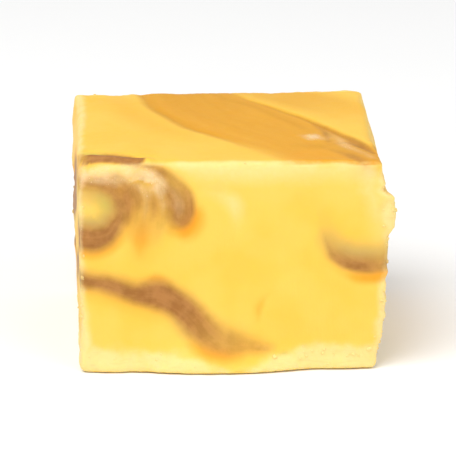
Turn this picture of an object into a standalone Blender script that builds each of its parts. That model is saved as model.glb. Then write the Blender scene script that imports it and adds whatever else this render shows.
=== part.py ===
"""A hand-cut cube of marbled fudge, modelled as one solid.

The cube stands on the foot of the slab that it was cut from. X runs along its width, Y from the front cut to
the back cut, and Z up through the slab's thickness to the poured top. The origin is under its middle.
"""

import math

import bmesh
import bpy
from mathutils import Matrix, Vector, noise

MM = 0.001

# The block before it is shaped.
WIDTH = 32.8 * MM
DEPTH = 28.4 * MM
HEIGHT = 23.3 * MM

# How fine the faceting is. Rows crowd towards the edges, where the shape changes fastest.
COLUMNS, ROWS, LAYERS = 28, 26, 22
CROWDING = 0.45
WELD = 0.01 * MM

# Edges: crisp where the knife went through, softer round the poured top.
CUT_ROUND = 0.45 * MM
TOP_ROUND = 0.75 * MM
TOP_ROUND_REACH = 2.0 * MM

# The front left corner of the top is rubbed off.
RUBBED_ROUND = 1.5 * MM
RUBBED_REACH = 6.0 * MM

# The right cut tucks in at its foot and under the top, and the left cut leans out towards the back.
FOOT_TUCK, FOOT_TUCK_REACH = 0.75 * MM, 5.0 * MM
TOP_TUCK, TOP_TUCK_REACH = 0.5 * MM, 3.0 * MM
LEFT_LEAN = 0.7 * MM
TOP_TILT = 0.15 * MM

# The foot flares unevenly where the warm slab met its tray, and swells forward under the front cut.
SKIRT_OUT, SKIRT_HEIGHT, SKIRT_REACH = 0.45 * MM, 2.2 * MM, 3.0 * MM
SKIRT_LEAST, SKIRT_WANDER = 0.6, 0.8
SWELL_OUT, SWELL_MIDDLE, SWELL_REACH, SWELL_HEIGHT = 1.3 * MM, -1.5 * MM, 12.0 * MM, 3.4 * MM

# Lips that the knife dragged out of the upright edges: which edge, height, half height and how far out.
LIP_DEPTH = 2.6 * MM
LIPS = (
    ("right", "front", 17.4 * MM, 2.8 * MM, 1.15 * MM),
    ("right", "front", 10.7 * MM, 1.3 * MM, 0.5 * MM),
    ("right", "back", 13.5 * MM, 2.8 * MM, 0.6 * MM),
    ("left", "back", 15.5 * MM, 3.2 * MM, 0.5 * MM),
    ("left", "back", 6.0 * MM, 1.8 * MM, 0.4 * MM),
)

# A crease along the front edge of the top, where a darker fold of fudge ends: from, to, half width and depth.
CREASE_FROM = Vector((-15.8 * MM, -10.3 * MM))
CREASE_TO = Vector((-9.5 * MM, -12.5 * MM))
CREASE_HALF, CREASE_DEPTH = 1.0 * MM, 0.4 * MM

# Soft unevenness of all the cuts, and the rougher wander of the edges. The seed picks this cube's own unevenness,
# so that every build gives the same one.
WAVE_LENGTH, WAVE_HEIGHT = 9.0 * MM, 0.16 * MM
WANDER_LENGTH, WANDER_HEIGHT, WANDER_REACH = 2.9 * MM, 0.24 * MM, 1.8 * MM
UNEVENNESS_SEED = 1795442951

FUDGE_COLOUR = (0.95, 0.66, 0.12, 1.0)
FUDGE_ROUGHNESS = 0.5


def eased(t):
    """0 below 0, 1 above 1, and a smooth step between."""
    t = min(max(t, 0.0), 1.0)
    return t * t * (3.0 - 2.0 * t)


def hill(value, middle, half):
    """A smooth hill: 1 at the middle and 0 from half away."""
    t = (value - middle) / half
    return (1.0 - t * t) ** 2 if abs(t) < 1.0 else 0.0


def held(value, limit):
    return min(max(value, -limit), limit)


def crowded(t):
    """Moves a grid line at t, from -1 to 1, towards the nearer end."""
    return t + CROWDING * math.sin(math.pi * t) / math.pi


def edge_round(p):
    """The radius of the edges near a point of the block."""
    radius = CUT_ROUND + (TOP_ROUND - CUT_ROUND) * eased((p.z - HEIGHT) / TOP_ROUND_REACH + 1.0)
    corner = Vector((-WIDTH / 2, -DEPTH / 2, HEIGHT))
    return radius + RUBBED_ROUND * hill((p - corner).length, 0.0, RUBBED_REACH)


def rounded(p):
    """Rolls a point of the sharp block over its nearest edges."""
    radius = edge_round(p)
    core = Vector(
        (
            held(p.x, WIDTH / 2 - radius),
            held(p.y, DEPTH / 2 - radius),
            HEIGHT / 2 + held(p.z - HEIGHT / 2, HEIGHT / 2 - radius),
        )
    )
    return core + (p - core).normalized() * radius


def wall_share(value, half, reach):
    """-1 or 1 at a wall, falling to 0 from reach inside it."""
    return math.copysign(eased((abs(value) - half) / reach + 1.0), value)


def lip_share(p, side, end, height, half_height):
    """How much of a lip is at a point: 1 in its middle."""
    across = wall_share(p.x, WIDTH / 2, LIP_DEPTH) * (1.0 if side == "right" else -1.0)
    edge = DEPTH / 2 if end == "back" else -DEPTH / 2
    return max(across, 0.0) * hill(p.y, edge, LIP_DEPTH) * hill(p.z, height, half_height)


def crease_share(p):
    """1 along the middle of the crease in the top and 0 beside it."""
    run = CREASE_TO - CREASE_FROM
    along = (p.xy - CREASE_FROM).dot(run) / run.length_squared
    nearest = CREASE_FROM + run * min(max(along, 0.0), 1.0)
    return hill((p.xy - nearest).length, 0.0, CREASE_HALF) * eased((p.z - HEIGHT) / CREASE_HALF + 1.0)


def slumped(p):
    """The block's large, soft departures from a true box."""
    right = eased(2.0 * p.x / WIDTH)
    left = eased(-2.0 * p.x / WIDTH)
    back = p.y / DEPTH + 0.5
    rise = p.z / HEIGHT
    skirt = SKIRT_OUT * hill(p.z, 0.0, SKIRT_HEIGHT)
    skirt *= SKIRT_LEAST + SKIRT_WANDER * noise.noise(Vector((p.x, p.y, 0.0)) / WANDER_LENGTH)
    shift = Vector()
    shift.x -= right * FOOT_TUCK * hill(p.z, 0.0, FOOT_TUCK_REACH)
    shift.x -= right * TOP_TUCK * hill(p.z, HEIGHT, TOP_TUCK_REACH)
    shift.x -= left * LEFT_LEAN * rise * back
    shift.x += skirt * wall_share(p.x, WIDTH / 2, SKIRT_REACH)
    shift.y += skirt * wall_share(p.y, DEPTH / 2, SKIRT_REACH)
    swell = hill(p.x, SWELL_MIDDLE, SWELL_REACH) * hill(p.z, 0.0, SWELL_HEIGHT)
    shift.y -= SWELL_OUT * swell * eased(-2.0 * p.y / DEPTH)
    shift.z += TOP_TILT * rise * back * (0.5 + p.x / WIDTH)
    shift.z -= CREASE_DEPTH * crease_share(p)
    for side, end, height, half_height, out in LIPS:
        shift.x += out * lip_share(p, side, end, height, half_height) * (1.0 if side == "right" else -1.0)
    return p + shift


def uneven(p):
    """Soft waves over every cut, and a wander along the edges. The foot stays flat."""
    near_edge = sorted(
        (
            WIDTH / 2 - abs(p.x),
            DEPTH / 2 - abs(p.y),
            min(p.z, HEIGHT - p.z),
        )
    )[1]
    wander = WANDER_HEIGHT * hill(near_edge, 0.0, WANDER_REACH)
    shift = noise.noise_vector(p / WAVE_LENGTH) * WAVE_HEIGHT
    shift += noise.noise_vector(p / WANDER_LENGTH) * wander
    shift.z *= eased(p.z / SKIRT_HEIGHT)
    return p + shift


def add_wall(block, across, along, columns, rows, middle):
    """One face of the block: a grid between two edge directions, both given as half sides."""
    normal = across.cross(along).normalized()
    place = Matrix((across, along, normal)).transposed().to_4x4()
    place.translation = middle
    bmesh.ops.create_grid(block, x_segments=columns, y_segments=rows, size=1.0, matrix=place)


def make_block():
    """The block's six walls, welded along their edges."""
    block = bmesh.new()
    x, y, z = Vector((WIDTH / 2, 0, 0)), Vector((0, DEPTH / 2, 0)), Vector((0, 0, HEIGHT / 2))
    add_wall(block, x, y, COLUMNS, ROWS, 2 * z)
    add_wall(block, y, x, ROWS, COLUMNS, Vector())
    add_wall(block, y, z, ROWS, LAYERS, z + x)
    add_wall(block, z, y, LAYERS, ROWS, z - x)
    add_wall(block, z, x, LAYERS, COLUMNS, z + y)
    add_wall(block, x, z, COLUMNS, LAYERS, z - y)
    bmesh.ops.remove_doubles(block, verts=block.verts, dist=WELD)
    return block


def shape_block(block):
    """Takes the plain block to the cut cube's own form."""
    for v in block.verts:
        crowd = Vector(
            (
                crowded(2 * v.co.x / WIDTH) * WIDTH / 2,
                crowded(2 * v.co.y / DEPTH) * DEPTH / 2,
                (crowded(2 * v.co.z / HEIGHT - 1.0) + 1.0) * HEIGHT / 2,
            )
        )
        v.co = uneven(slumped(rounded(crowd)))


def stand_on_origin(block):
    """Puts the middle of the block's box over the origin and its foot at height 0."""
    low = Vector(min(v.co[i] for v in block.verts) for i in range(3))
    high = Vector(max(v.co[i] for v in block.verts) for i in range(3))
    middle = (low + high) / 2
    bmesh.ops.translate(block, verts=block.verts, vec=(-middle.x, -middle.y, -low.z))


def fudge_material():
    material = bpy.data.materials.new("fudge")
    material.use_nodes = True
    surface = material.node_tree.nodes["Principled BSDF"]
    surface.inputs["Base Color"].default_value = FUDGE_COLOUR
    surface.inputs["Roughness"].default_value = FUDGE_ROUGHNESS
    surface.inputs["Metallic"].default_value = 0.0
    return material


def make_fudge_cube():
    block = make_block()
    shape_block(block)
    stand_on_origin(block)
    mesh = bpy.data.meshes.new("fudge_cube")
    block.to_mesh(mesh)
    block.free()
    mesh.shade_smooth()
    mesh.materials.append(fudge_material())
    cube = bpy.data.objects.new("fudge_cube", mesh)
    bpy.context.scene.collection.objects.link(cube)
    return cube


for old in list(bpy.data.objects):
    bpy.data.objects.remove(old)
noise.seed_set(UNEVENNESS_SEED)
make_fudge_cube()
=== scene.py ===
import math
import random

import bmesh
import bpy
from mathutils import Matrix, Vector, kdtree, noise
from mathutils.bvhtree import BVHTree


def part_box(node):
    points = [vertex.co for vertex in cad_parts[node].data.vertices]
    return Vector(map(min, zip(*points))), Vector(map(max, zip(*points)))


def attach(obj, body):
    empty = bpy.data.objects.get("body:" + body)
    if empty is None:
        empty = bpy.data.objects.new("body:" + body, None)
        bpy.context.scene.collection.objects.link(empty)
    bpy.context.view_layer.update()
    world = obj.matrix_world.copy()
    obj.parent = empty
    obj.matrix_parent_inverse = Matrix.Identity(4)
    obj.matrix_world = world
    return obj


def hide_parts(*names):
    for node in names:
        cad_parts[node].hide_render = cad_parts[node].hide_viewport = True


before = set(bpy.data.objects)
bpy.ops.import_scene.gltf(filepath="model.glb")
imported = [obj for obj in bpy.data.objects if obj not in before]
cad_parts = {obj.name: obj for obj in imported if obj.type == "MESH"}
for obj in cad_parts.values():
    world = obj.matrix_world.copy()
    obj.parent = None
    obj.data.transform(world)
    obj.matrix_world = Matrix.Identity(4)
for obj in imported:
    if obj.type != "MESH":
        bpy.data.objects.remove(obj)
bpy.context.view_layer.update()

MM = 0.001

# The block: yellow and brown fudge boiled apart, swirled together while hot and poured into a tray. Once set
# it was cut with a long knife, so four sides are cuts, the top is as poured and the foot as it left the tray.
# The solid has that form already, and a fine copy of it carries the swirl and the grain of the cuts.

SEW = 0.002 * MM
PAIRING = math.radians(40)
FACE_SIZE = 0.225 * MM
SMOOTHINGS = 2


def new_piece(form, name):
    """An object with this form as its mesh."""
    piece = bpy.data.objects.new(name, bpy.data.meshes.new(name))
    bpy.context.scene.collection.objects.link(piece)
    form.to_mesh(piece.data)
    form.free()
    return piece


def fine_copy(solid, name):
    """A solid's form again, smooth between its facets and made of small, even faces."""
    sewn = bmesh.new()
    sewn.from_mesh(solid.data)
    bmesh.ops.remove_doubles(sewn, verts=sewn.verts, dist=SEW)
    bmesh.ops.join_triangles(
        sewn, faces=sewn.faces, angle_face_threshold=PAIRING, angle_shape_threshold=PAIRING
    )
    piece = new_piece(sewn, name)
    softer = piece.modifiers.new("softer", "SUBSURF")
    softer.levels = softer.render_levels = 2
    evened = piece.modifiers.new("evened", "REMESH")
    evened.mode = "VOXEL"
    evened.voxel_size = FACE_SIZE
    done = piece.evaluated_get(bpy.context.evaluated_depsgraph_get())
    fine = bpy.data.meshes.new_from_object(done)
    piece.modifiers.clear()
    piece.data = fine
    return piece


block = fine_copy(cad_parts["fudge_cube"], "marbled_block")
rough_form = bmesh.new()
rough_form.from_mesh(block.data)
for _ in range(SMOOTHINGS):
    bmesh.ops.smooth_vert(
        rough_form, verts=rough_form.verts, factor=0.5, use_axis_x=True, use_axis_y=True, use_axis_z=True
    )
bmesh.ops.recalc_face_normals(rough_form, faces=rough_form.faces)
rough_form.to_mesh(block.data)
surface = BVHTree.FromBMesh(rough_form)
rough_form.free()

lowest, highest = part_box("fudge_cube")
middle = (lowest + highest) / 2


def straight_out(x, y, z):
    return surface.ray_cast(middle, Vector((x, y, z)))[0]


left_cut, right_cut = straight_out(-1, 0, 0).x, straight_out(1, 0, 0).x
front_cut, back_cut = straight_out(0, -1, 0).y, straight_out(0, 1, 0).y
poured_top = straight_out(0, 0, 1).z
centre = Vector(((left_cut + right_cut) / 2, (front_cut + back_cut) / 2, 0))


def eased(t):
    """0 below 0, 1 above 1, and a smooth step between."""
    t = min(max(t, 0.0), 1.0)
    return t * t * (3.0 - 2.0 * t)


def hill(value, peak, half):
    """A smooth hill: 1 at its peak and 0 from half away."""
    t = (value - peak) / half
    return (1.0 - t * t) ** 2 if abs(t) < 1.0 else 0.0


# Where a line of the swirl comes out at each side: its place there in millimetres from the side's middle line
# and the foot, half its width, and how strong it is.
def on_front(x, z, half, strength):
    return Vector((centre.x + x * MM, front_cut, z * MM, half * MM, strength))


def on_back(x, z, half, strength):
    return Vector((centre.x + x * MM, back_cut, z * MM, half * MM, strength))


def on_left(y, z, half, strength):
    return Vector((left_cut, centre.y + y * MM, z * MM, half * MM, strength))


def on_right(y, z, half, strength):
    return Vector((right_cut, centre.y + y * MM, z * MM, half * MM, strength))


def on_top(x, y, half, strength):
    return Vector((centre.x + x * MM, centre.y + y * MM, poured_top, half * MM, strength))


def on_foot(x, y, half, strength):
    return Vector((centre.x + x * MM, centre.y + y * MM, 0.0, half * MM, strength))


RUN_STEP = 0.15 * MM


def smooth_run(stops):
    """Close points along a smooth line through the stops, each with its facing, half width and strength."""
    ends = [2 * stops[0] - stops[1], *stops, 2 * stops[-1] - stops[-2]]
    run = []
    for a, b, c, d in zip(ends, ends[1:], ends[2:], ends[3:]):
        count = max(2, round((Vector(c[:3]) - Vector(b[:3])).length / RUN_STEP))
        for step in range(count):
            t = step / count
            here = b + ((c - a) * t + (2 * a - 5 * b + 4 * c - d) * t**2 + (3 * b - 3 * c + d - a) * t**3) / 2
            place, facing = surface.find_nearest(Vector(here[:3]))[:2]
            run.append((place, facing, here[3], here[4]))
    return run


# The lines of the swirl wander by soft noise, given as its sizes and amounts. The seed keeps this cube's own.
WANDER = ((3.6 * MM, 0.26 * MM), (1.1 * MM, 0.07 * MM))
SWIRL_SEED = 2
noise.seed_set(SWIRL_SEED)
places = [v.co.copy() for v in block.data.vertices]
facings = [n.vector.copy() for n in block.data.vertex_normals]
swirled = []
for p in places:
    q = p.copy()
    for size, amount in WANDER:
        q += noise.noise_vector(p / size) * amount
    swirled.append(q)


def follow(stops, reach):
    """Each place of the block within reach of a line: its number, how far left of the line and how far along
    it is, and the line's half width and strength beside it."""
    run = smooth_run(stops)
    line = kdtree.KDTree(len(run))
    lefts = []
    for number, (place, facing, half, strength) in enumerate(run):
        line.insert(place, number)
        before, after = run[max(number - 1, 0)][0], run[min(number + 1, len(run) - 1)][0]
        lefts.append(facing.cross(after - before).normalized())
    line.balance()
    low = [min(r[0][i] for r in run) - reach for i in range(3)]
    high = [max(r[0][i] for r in run) + reach for i in range(3)]
    for number, q in enumerate(swirled):
        if not (low[0] < q.x < high[0] and low[1] < q.y < high[1] and low[2] < q.z < high[2]):
            continue
        near, at, gap = line.find(q)
        if gap < reach:
            left = (q - near).dot(lefts[at])
            yield number, math.copysign(gap, left), at * RUN_STEP, run[at][2], run[at][3]


SWIRL_MARKS = ("brown", "amber", "ochre", "khaki", "olive", "tan", "pale", "groove", "crystal")
swirl = {mark: [0.0] * len(places) for mark in SWIRL_MARKS}
# The pull of the swirl: how far across and along the strongest line each place is, and how hard it pulls.
across_flow, along_flow, pull = [0.0] * len(places), [0.0] * len(places), [0.0] * len(places)
FADE_REACH = 2.2 * MM
GLOW_GAP, GLOW_REACH = 0.30 * MM, 1.15 * MM
HAZE_GAP, HAZE_REACH = 0.35 * MM, 1.5 * MM


def add_mark(mark, number, amount):
    """Adds to a mark without going past full strength."""
    swirl[mark][number] = 1.0 - (1.0 - swirl[mark][number]) * (1.0 - min(max(amount, 0.0), 1.0))


def streak(mark, *stops, soft=(0.5, 0.5), glow=0.0, haze=0.0):
    """A line of one mark: most are dyes, and a few pale, olive and khaki lines are painted highlights and
    painted shade. Its two sides, left and right as the line runs, fade over soft millimetres. Amber glows
    beyond the right side and khaki hangs beyond the left."""
    reach = max(stop[3] for stop in stops) + FADE_REACH
    for number, across, along, half, strength in follow(stops, reach):
        fade = (soft[0] if across > 0 else soft[1]) * MM
        amount = strength * min(max((half - abs(across)) / fade + 0.5, 0.0), 1.0)
        add_mark(mark, number, amount)
        if mark == "brown" and amount > pull[number]:
            across_flow[number], along_flow[number], pull[number] = across, along, amount
        if glow:
            add_mark("amber", number, glow * strength * hill(-across, half + GLOW_GAP, GLOW_REACH))
        if haze:
            add_mark("khaki", number, haze * strength * hill(across, half + HAZE_GAP, HAZE_REACH))


# The front cut. A curl of brown at its left edge, which closes round the corner on the left cut.
streak(
    "brown",
    on_left(-6.6, 17.8, 1.5, 0.9),
    on_left(-7.8, 15.8, 1.5, 0.9),
    on_left(-10.8, 15.2, 1.4, 0.9),
    on_front(-15.8, 15.1, 1.35, 0.95),
    on_front(-14.5, 15.1, 1.35, 0.97),
    on_front(-13.3, 15.6, 1.2, 0.95),
    on_front(-12.5, 16.7, 0.95, 0.9),
    on_front(-12.1, 17.8, 0.8, 0.8),
    on_front(-12.2, 18.9, 0.75, 0.8),
    on_front(-12.7, 19.9, 0.75, 0.75),
    on_front(-13.5, 20.6, 0.75, 0.75),
    on_front(-14.6, 20.9, 0.75, 0.65),
    on_front(-16.0, 21.1, 0.7, 0.6),
    on_left(-11.6, 21.3, 0.7, 0.6),
    on_left(-8.6, 20.4, 1.1, 0.8),
    on_left(-6.6, 17.8, 1.5, 0.9),
    soft=(1.5, 1.2),
    glow=0.5,
    haze=1.0,
)
streak("olive", on_front(-14.6, 18.2, 0.9, 0.35), on_front(-13.4, 18.8, 0.9, 0.75), soft=(1.6, 1.6))
streak(
    "pale",
    on_front(-16.0, 19.4, 0.6, 0.5),
    on_front(-15.0, 18.2, 0.6, 0.3),
    on_front(-16.0, 17.4, 0.4, 0.3),
    soft=(1.6, 1.6),
)
streak(
    "ochre",
    on_front(-16.0, 13.7, 0.4, 0.3),
    on_front(-14.4, 13.7, 0.5, 0.4),
    on_front(-13.2, 14.1, 0.5, 0.35),
    on_front(-12.2, 15.0, 0.4, 0.2),
    soft=(0.9, 0.9),
)
# Tan and pink fudge over the curl and down beside it, drawn out in many thin lines.
streak(
    "brown",
    on_front(-16.2, 21.5, 0.6, 0.4),
    on_front(-14.0, 21.4, 0.7, 0.5),
    on_front(-12.4, 21.0, 0.9, 0.62),
    on_front(-11.4, 20.2, 1.1, 0.42),
    on_front(-11.0, 19.0, 0.9, 0.2),
    soft=(0.9, 1.2),
)
streak(
    "brown",
    on_front(-9.6, 21.2, 1.6, 0.25),
    on_front(-9.4, 20.0, 2.8, 0.5),
    on_front(-9.2, 18.8, 3.0, 0.55),
    on_front(-9.3, 17.2, 2.7, 0.46),
    on_front(-9.5, 15.6, 2.2, 0.3),
    on_front(-9.7, 13.8, 1.5, 0.12),
    soft=(1.5, 1.5),
)
for x, top, low, half, strength in (
    (-11.3, 21.8, 16.6, 0.40, 0.45),
    (-10.5, 21.6, 17.0, 0.25, 0.25),
    (-10.0, 21.2, 18.0, 0.20, 0.35),
    (-9.2, 20.8, 17.6, 0.15, 0.25),
    (-8.6, 20.2, 17.0, 0.30, 0.35),
    (-8.0, 21.0, 18.4, 0.20, 0.30),
):
    streak(
        "brown",
        on_front(x - 0.2, top, half, strength * 0.3),
        on_front(x + 0.1, 0.5 * (top + low), half, strength),
        on_front(x - 0.1, low, half, strength * 0.2),
        soft=(0.5, 0.5),
    )
streak(
    "khaki",
    on_front(-15.6, 21.9, 0.4, 0.15),
    on_front(-13.4, 21.9, 0.4, 0.4),
    on_front(-12.2, 21.9, 0.35, 0.5),
    on_front(-11.2, 21.4, 0.3, 0.3),
    soft=(0.7, 0.7),
)
# The thinner run among them turns amber at its end.
streak(
    "amber",
    on_front(-9.7, 17.4, 0.7, 0.2),
    on_front(-9.8, 16.2, 0.9, 0.5),
    on_front(-9.9, 14.6, 0.9, 0.62),
    on_front(-10.0, 13.2, 0.6, 0.35),
    on_front(-10.1, 12.0, 0.4, 0.1),
    soft=(1.2, 1.2),
)
# A broad drop beside them, with amber at its lower right.
streak(
    "brown",
    on_front(-8.4, 22.9, 0.5, 0.4),
    on_front(-7.6, 22.2, 0.75, 0.66),
    on_front(-6.9, 21.4, 1.0, 0.6),
    on_front(-6.2, 20.4, 1.3, 0.62),
    on_front(-5.55, 19.1, 1.55, 0.74),
    on_front(-5.4, 18.0, 1.5, 0.8),
    on_front(-5.6, 17.2, 1.35, 0.78),
    soft=(0.9, 1.2),
)
streak(
    "crystal",
    on_front(-7.0, 21.2, 0.4, 0.3),
    on_front(-6.2, 19.8, 0.7, 0.36),
    on_front(-5.8, 18.4, 0.9, 0.36),
    on_front(-6.0, 17.2, 0.6, 0.25),
    soft=(1.2, 1.2),
)
streak(
    "amber",
    on_front(-5.0, 20.6, 0.3, 0.2),
    on_front(-4.1, 18.8, 0.5, 0.5),
    on_front(-3.9, 17.5, 0.85, 0.85),
    on_front(-4.3, 16.4, 0.95, 0.92),
    on_front(-5.3, 15.7, 0.85, 0.88),
    on_front(-6.5, 15.5, 0.4, 0.4),
    soft=(1.8, 1.8),
)
streak(
    "ochre",
    on_front(-4.3, 18.6, 0.3, 0.2),
    on_front(-4.6, 17.2, 0.5, 0.55),
    on_front(-5.3, 16.1, 0.7, 0.75),
    on_front(-6.7, 16.1, 0.6, 0.55),
    soft=(1.0, 1.0),
)
# The long band, from the left cut across to the foot of the front: soft above, sharper and amber below.
streak(
    "brown",
    on_left(8.0, 6.6, 1.0, 0.8),
    on_left(2.4, 6.9, 1.4, 1.0),
    on_left(-2.5, 8.7, 1.3, 0.95),
    on_left(-6.5, 10.8, 1.0, 0.9),
    on_left(-10.8, 11.2, 0.8, 0.9),
    on_front(-16.0, 10.55, 0.95, 0.9),
    on_front(-13.1, 9.85, 1.05, 0.95),
    on_front(-10.5, 9.0, 1.15, 0.92),
    on_front(-8.2, 8.7, 1.6, 1.0),
    on_front(-6.6, 8.0, 1.55, 0.98),
    on_front(-5.1, 6.9, 1.5, 0.95),
    on_front(-4.0, 5.7, 1.5, 0.84),
    on_front(-3.0, 4.5, 1.5, 0.74),
    on_front(-1.7, 3.5, 1.35, 0.62),
    on_front(0.1, 3.0, 1.1, 0.5),
    on_front(1.8, 2.7, 0.8, 0.4),
    on_front(3.6, 2.5, 0.6, 0.22),
    soft=(1.7, 1.4),
)
streak(
    "brown",
    on_front(-3.0, 6.2, 0.7, 0.15),
    on_front(-1.4, 5.0, 0.9, 0.3),
    on_front(0.4, 4.1, 0.9, 0.3),
    on_front(2.4, 3.4, 0.7, 0.2),
    on_front(4.2, 3.0, 0.4, 0.1),
    soft=(1.6, 1.0),
)
# Ochre skirts hang under it and amber gathers at its foot.
streak(
    "ochre",
    on_front(-16.0, 9.0, 0.4, 0.15),
    on_front(-13.1, 8.4, 0.6, 0.3),
    on_front(-11.0, 7.8, 0.7, 0.35),
    on_front(-8.8, 7.0, 0.7, 0.3),
    on_front(-7.0, 6.2, 0.5, 0.25),
    on_front(-5.6, 4.8, 0.5, 0.2),
    soft=(1.4, 1.6),
)
streak(
    "amber",
    on_front(-9.6, 10.5, 0.3, 0.25),
    on_front(-8.2, 10.5, 0.6, 0.6),
    on_front(-6.8, 9.9, 0.4, 0.3),
    soft=(1.2, 1.2),
)
streak(
    "amber",
    on_front(-4.9, 4.0, 0.4, 0.25),
    on_front(-4.1, 2.8, 0.75, 0.38),
    on_front(-2.7, 1.9, 0.85, 0.58),
    on_front(-0.7, 1.6, 0.8, 0.6),
    on_front(1.2, 1.8, 0.6, 0.4),
    on_front(3.2, 2.1, 0.4, 0.25),
    soft=(1.4, 1.4),
)
streak(
    "ochre",
    on_front(-4.3, 3.9, 0.5, 0.22),
    on_front(-3.6, 2.8, 0.8, 0.46),
    on_front(-2.4, 2.2, 0.8, 0.55),
    on_front(-0.9, 2.1, 0.75, 0.62),
    on_front(0.6, 2.2, 0.6, 0.35),
    soft=(1.2, 1.2),
)
streak(
    "khaki",
    on_front(-7.4, 6.6, 0.3, 0.2),
    on_front(-5.9, 5.7, 0.6, 0.5),
    on_front(-5.0, 4.4, 0.6, 0.45),
    on_front(-4.7, 3.2, 0.4, 0.2),
    soft=(1.0, 1.0),
)
streak(
    "brown",
    on_front(1.2, 2.8, 0.4, 0.15),
    on_front(2.4, 2.5, 0.6, 0.3),
    on_front(3.5, 2.4, 0.6, 0.36),
    on_front(4.4, 2.4, 0.4, 0.2),
    soft=(1.2, 1.2),
)
streak(
    "crystal",
    on_front(1.0, 3.3, 0.3, 0.12),
    on_front(2.4, 2.8, 0.4, 0.24),
    on_front(4.4, 2.4, 0.5, 0.24),
    soft=(0.9, 0.9),
)
# A short band at the right edge, which climbs over the right cut.
streak(
    "brown",
    on_front(9.3, 16.4, 0.3, 0.12),
    on_front(9.7, 15.0, 0.5, 0.35),
    on_front(10.2, 13.9, 0.7, 0.5),
    on_front(10.9, 12.9, 0.85, 0.72),
    on_front(12.2, 12.15, 0.9, 0.86),
    on_front(13.9, 11.85, 0.92, 0.88),
    on_front(16.0, 11.9, 0.95, 0.7),
    on_right(-11.0, 12.4, 0.9, 0.9),
    on_right(-7.5, 14.4, 1.0, 0.9),
    on_right(-4.6, 17.4, 1.2, 0.85),
    on_right(-3.6, 20.4, 0.9, 0.7),
    on_right(-5.2, 22.6, 0.6, 0.5),
    soft=(1.7, 0.8),
    glow=0.3,
    haze=1.0,
)
streak(
    "khaki",
    on_front(9.8, 14.6, 0.8, 0.5),
    on_front(10.8, 13.6, 1.0, 0.55),
    on_front(13.0, 13.2, 1.1, 0.5),
    on_front(16.0, 13.3, 1.0, 0.3),
    on_right(-11.6, 14.0, 0.8, 0.3),
    soft=(1.8, 1.2),
)
streak(
    "amber",
    on_front(11.6, 11.0, 0.3, 0.15),
    on_front(12.8, 10.6, 0.5, 0.5),
    on_front(14.2, 10.45, 0.65, 0.72),
    on_front(16.0, 10.5, 0.75, 0.8),
    on_right(-12.2, 10.8, 0.5, 0.7),
    soft=(1.1, 1.1),
)
# Paler fudge that took up less of either of the two dyes, and, on the upper front and its edges, paler strips
# of painted light.
streak(
    "pale",
    on_front(0.6, 15.9, 0.6, 0.2),
    on_front(0.5, 17.2, 0.8, 0.4),
    on_front(0.1, 18.6, 0.9, 0.6),
    on_front(-1.4, 19.7, 0.7, 0.4),
    on_front(-3.3, 20.3, 0.4, 0.15),
    soft=(1.3, 1.3),
)
streak(
    "pale",
    on_front(8.9, 2.9, 0.4, 0.35),
    on_front(9.9, 2.1, 0.6, 0.6),
    on_front(11.2, 1.5, 0.5, 0.4),
    soft=(0.9, 0.9),
)
# A pale strip just under the top front edge: a painted highlight where that edge catches the light.
streak(
    "pale",
    on_front(-6.0, 22.5, 0.7, 0.4),
    on_front(-3.6, 22.3, 0.9, 0.6),
    on_front(3.0, 22.2, 0.95, 0.68),
    on_front(9.0, 22.2, 0.85, 0.52),
    on_front(14.6, 22.1, 0.9, 0.55),
    soft=(1.0, 1.8),
)
# A faint, broad paler band over the upper front: painted light, as if that part were lit more.
streak(
    "pale",
    on_front(-3.0, 20.4, 1.5, 0.15),
    on_front(4.0, 20.4, 2.0, 0.15),
    on_front(13.0, 20.4, 2.0, 0.2),
    soft=(2.5, 2.5),
)
streak(
    "pale",
    on_front(-16.0, 4.6, 1.6, 0.1),
    on_front(0.0, 4.8, 1.6, 0.1),
    on_front(16.0, 4.6, 1.6, 0.14),
    soft=(3.5, 2.0),
)
# Pale down the right front edge: partly the paler rim, partly a painted highlight along the edge.
streak(
    "pale",
    on_front(14.9, 21.4, 1.0, 0.5),
    on_front(15.2, 18.0, 0.9, 0.5),
    on_front(15.4, 14.6, 0.6, 0.3),
    soft=(1.6, 1.6),
)
streak("olive", on_front(-3.6, 20.6, 0.4, 0.25), on_front(-1.4, 20.6, 0.4, 0.25), soft=(0.8, 0.8))
# A thin olive line down the right front edge beside the burr: painted shade in the gap between burr and cut.
streak(
    "olive",
    on_front(16.5, 19.4, 0.3, 0.2),
    on_front(16.1, 18.6, 0.35, 0.35),
    on_front(15.8, 17.8, 0.25, 0.2),
    soft=(0.6, 0.6),
)

# The poured top. Brown fudge drags out thin towards the front right, with a darker line along each side.
left_border = (
    on_top(-9.8, 14.6, 0.35, 0.5),
    on_top(-9.2, 11.6, 0.5, 0.7),
    on_top(-8.3, 8.0, 0.55, 0.8),
    on_top(-6.6, 4.0, 0.55, 0.9),
    on_top(-4.4, -0.3, 0.45, 0.85),
    on_top(-1.8, -3.5, 0.38, 0.75),
    on_top(0.4, -6.0, 0.3, 0.5),
    on_top(2.2, -8.2, 0.3, 0.25),
    on_top(4.0, -10.8, 0.3, 0.1),
    on_top(6.4, -14.6, 0.3, 0.05),
)
right_border = (
    on_top(0.6, 14.6, 0.2, 0.2),
    on_top(2.0, 11.6, 0.25, 0.3),
    on_top(3.4, 9.4, 0.3, 0.45),
    on_top(4.9, 7.4, 0.3, 0.6),
    on_top(6.8, 5.0, 0.3, 0.75),
    on_top(8.6, 2.5, 0.3, 0.85),
    on_top(10.4, -0.1, 0.35, 0.95),
    on_top(12.1, -2.9, 0.4, 1.0),
    on_top(13.4, -5.8, 0.4, 1.0),
    on_top(14.5, -8.4, 0.45, 1.0),
    on_top(15.5, -10.6, 0.45, 0.9),
)
BAND_REACH = 15 * MM
BAND_SOFT, BAND_SOFT_END = 0.45 * MM, 3.2 * MM
BAND_SOFTENS, BAND_SOFTENING = 2.0 * MM, 9 * MM
from_left = {found[0]: found[1:3] for found in follow(left_border, BAND_REACH)}
from_right = {found[0]: found[1] for found in follow(right_border, BAND_REACH)}
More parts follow.
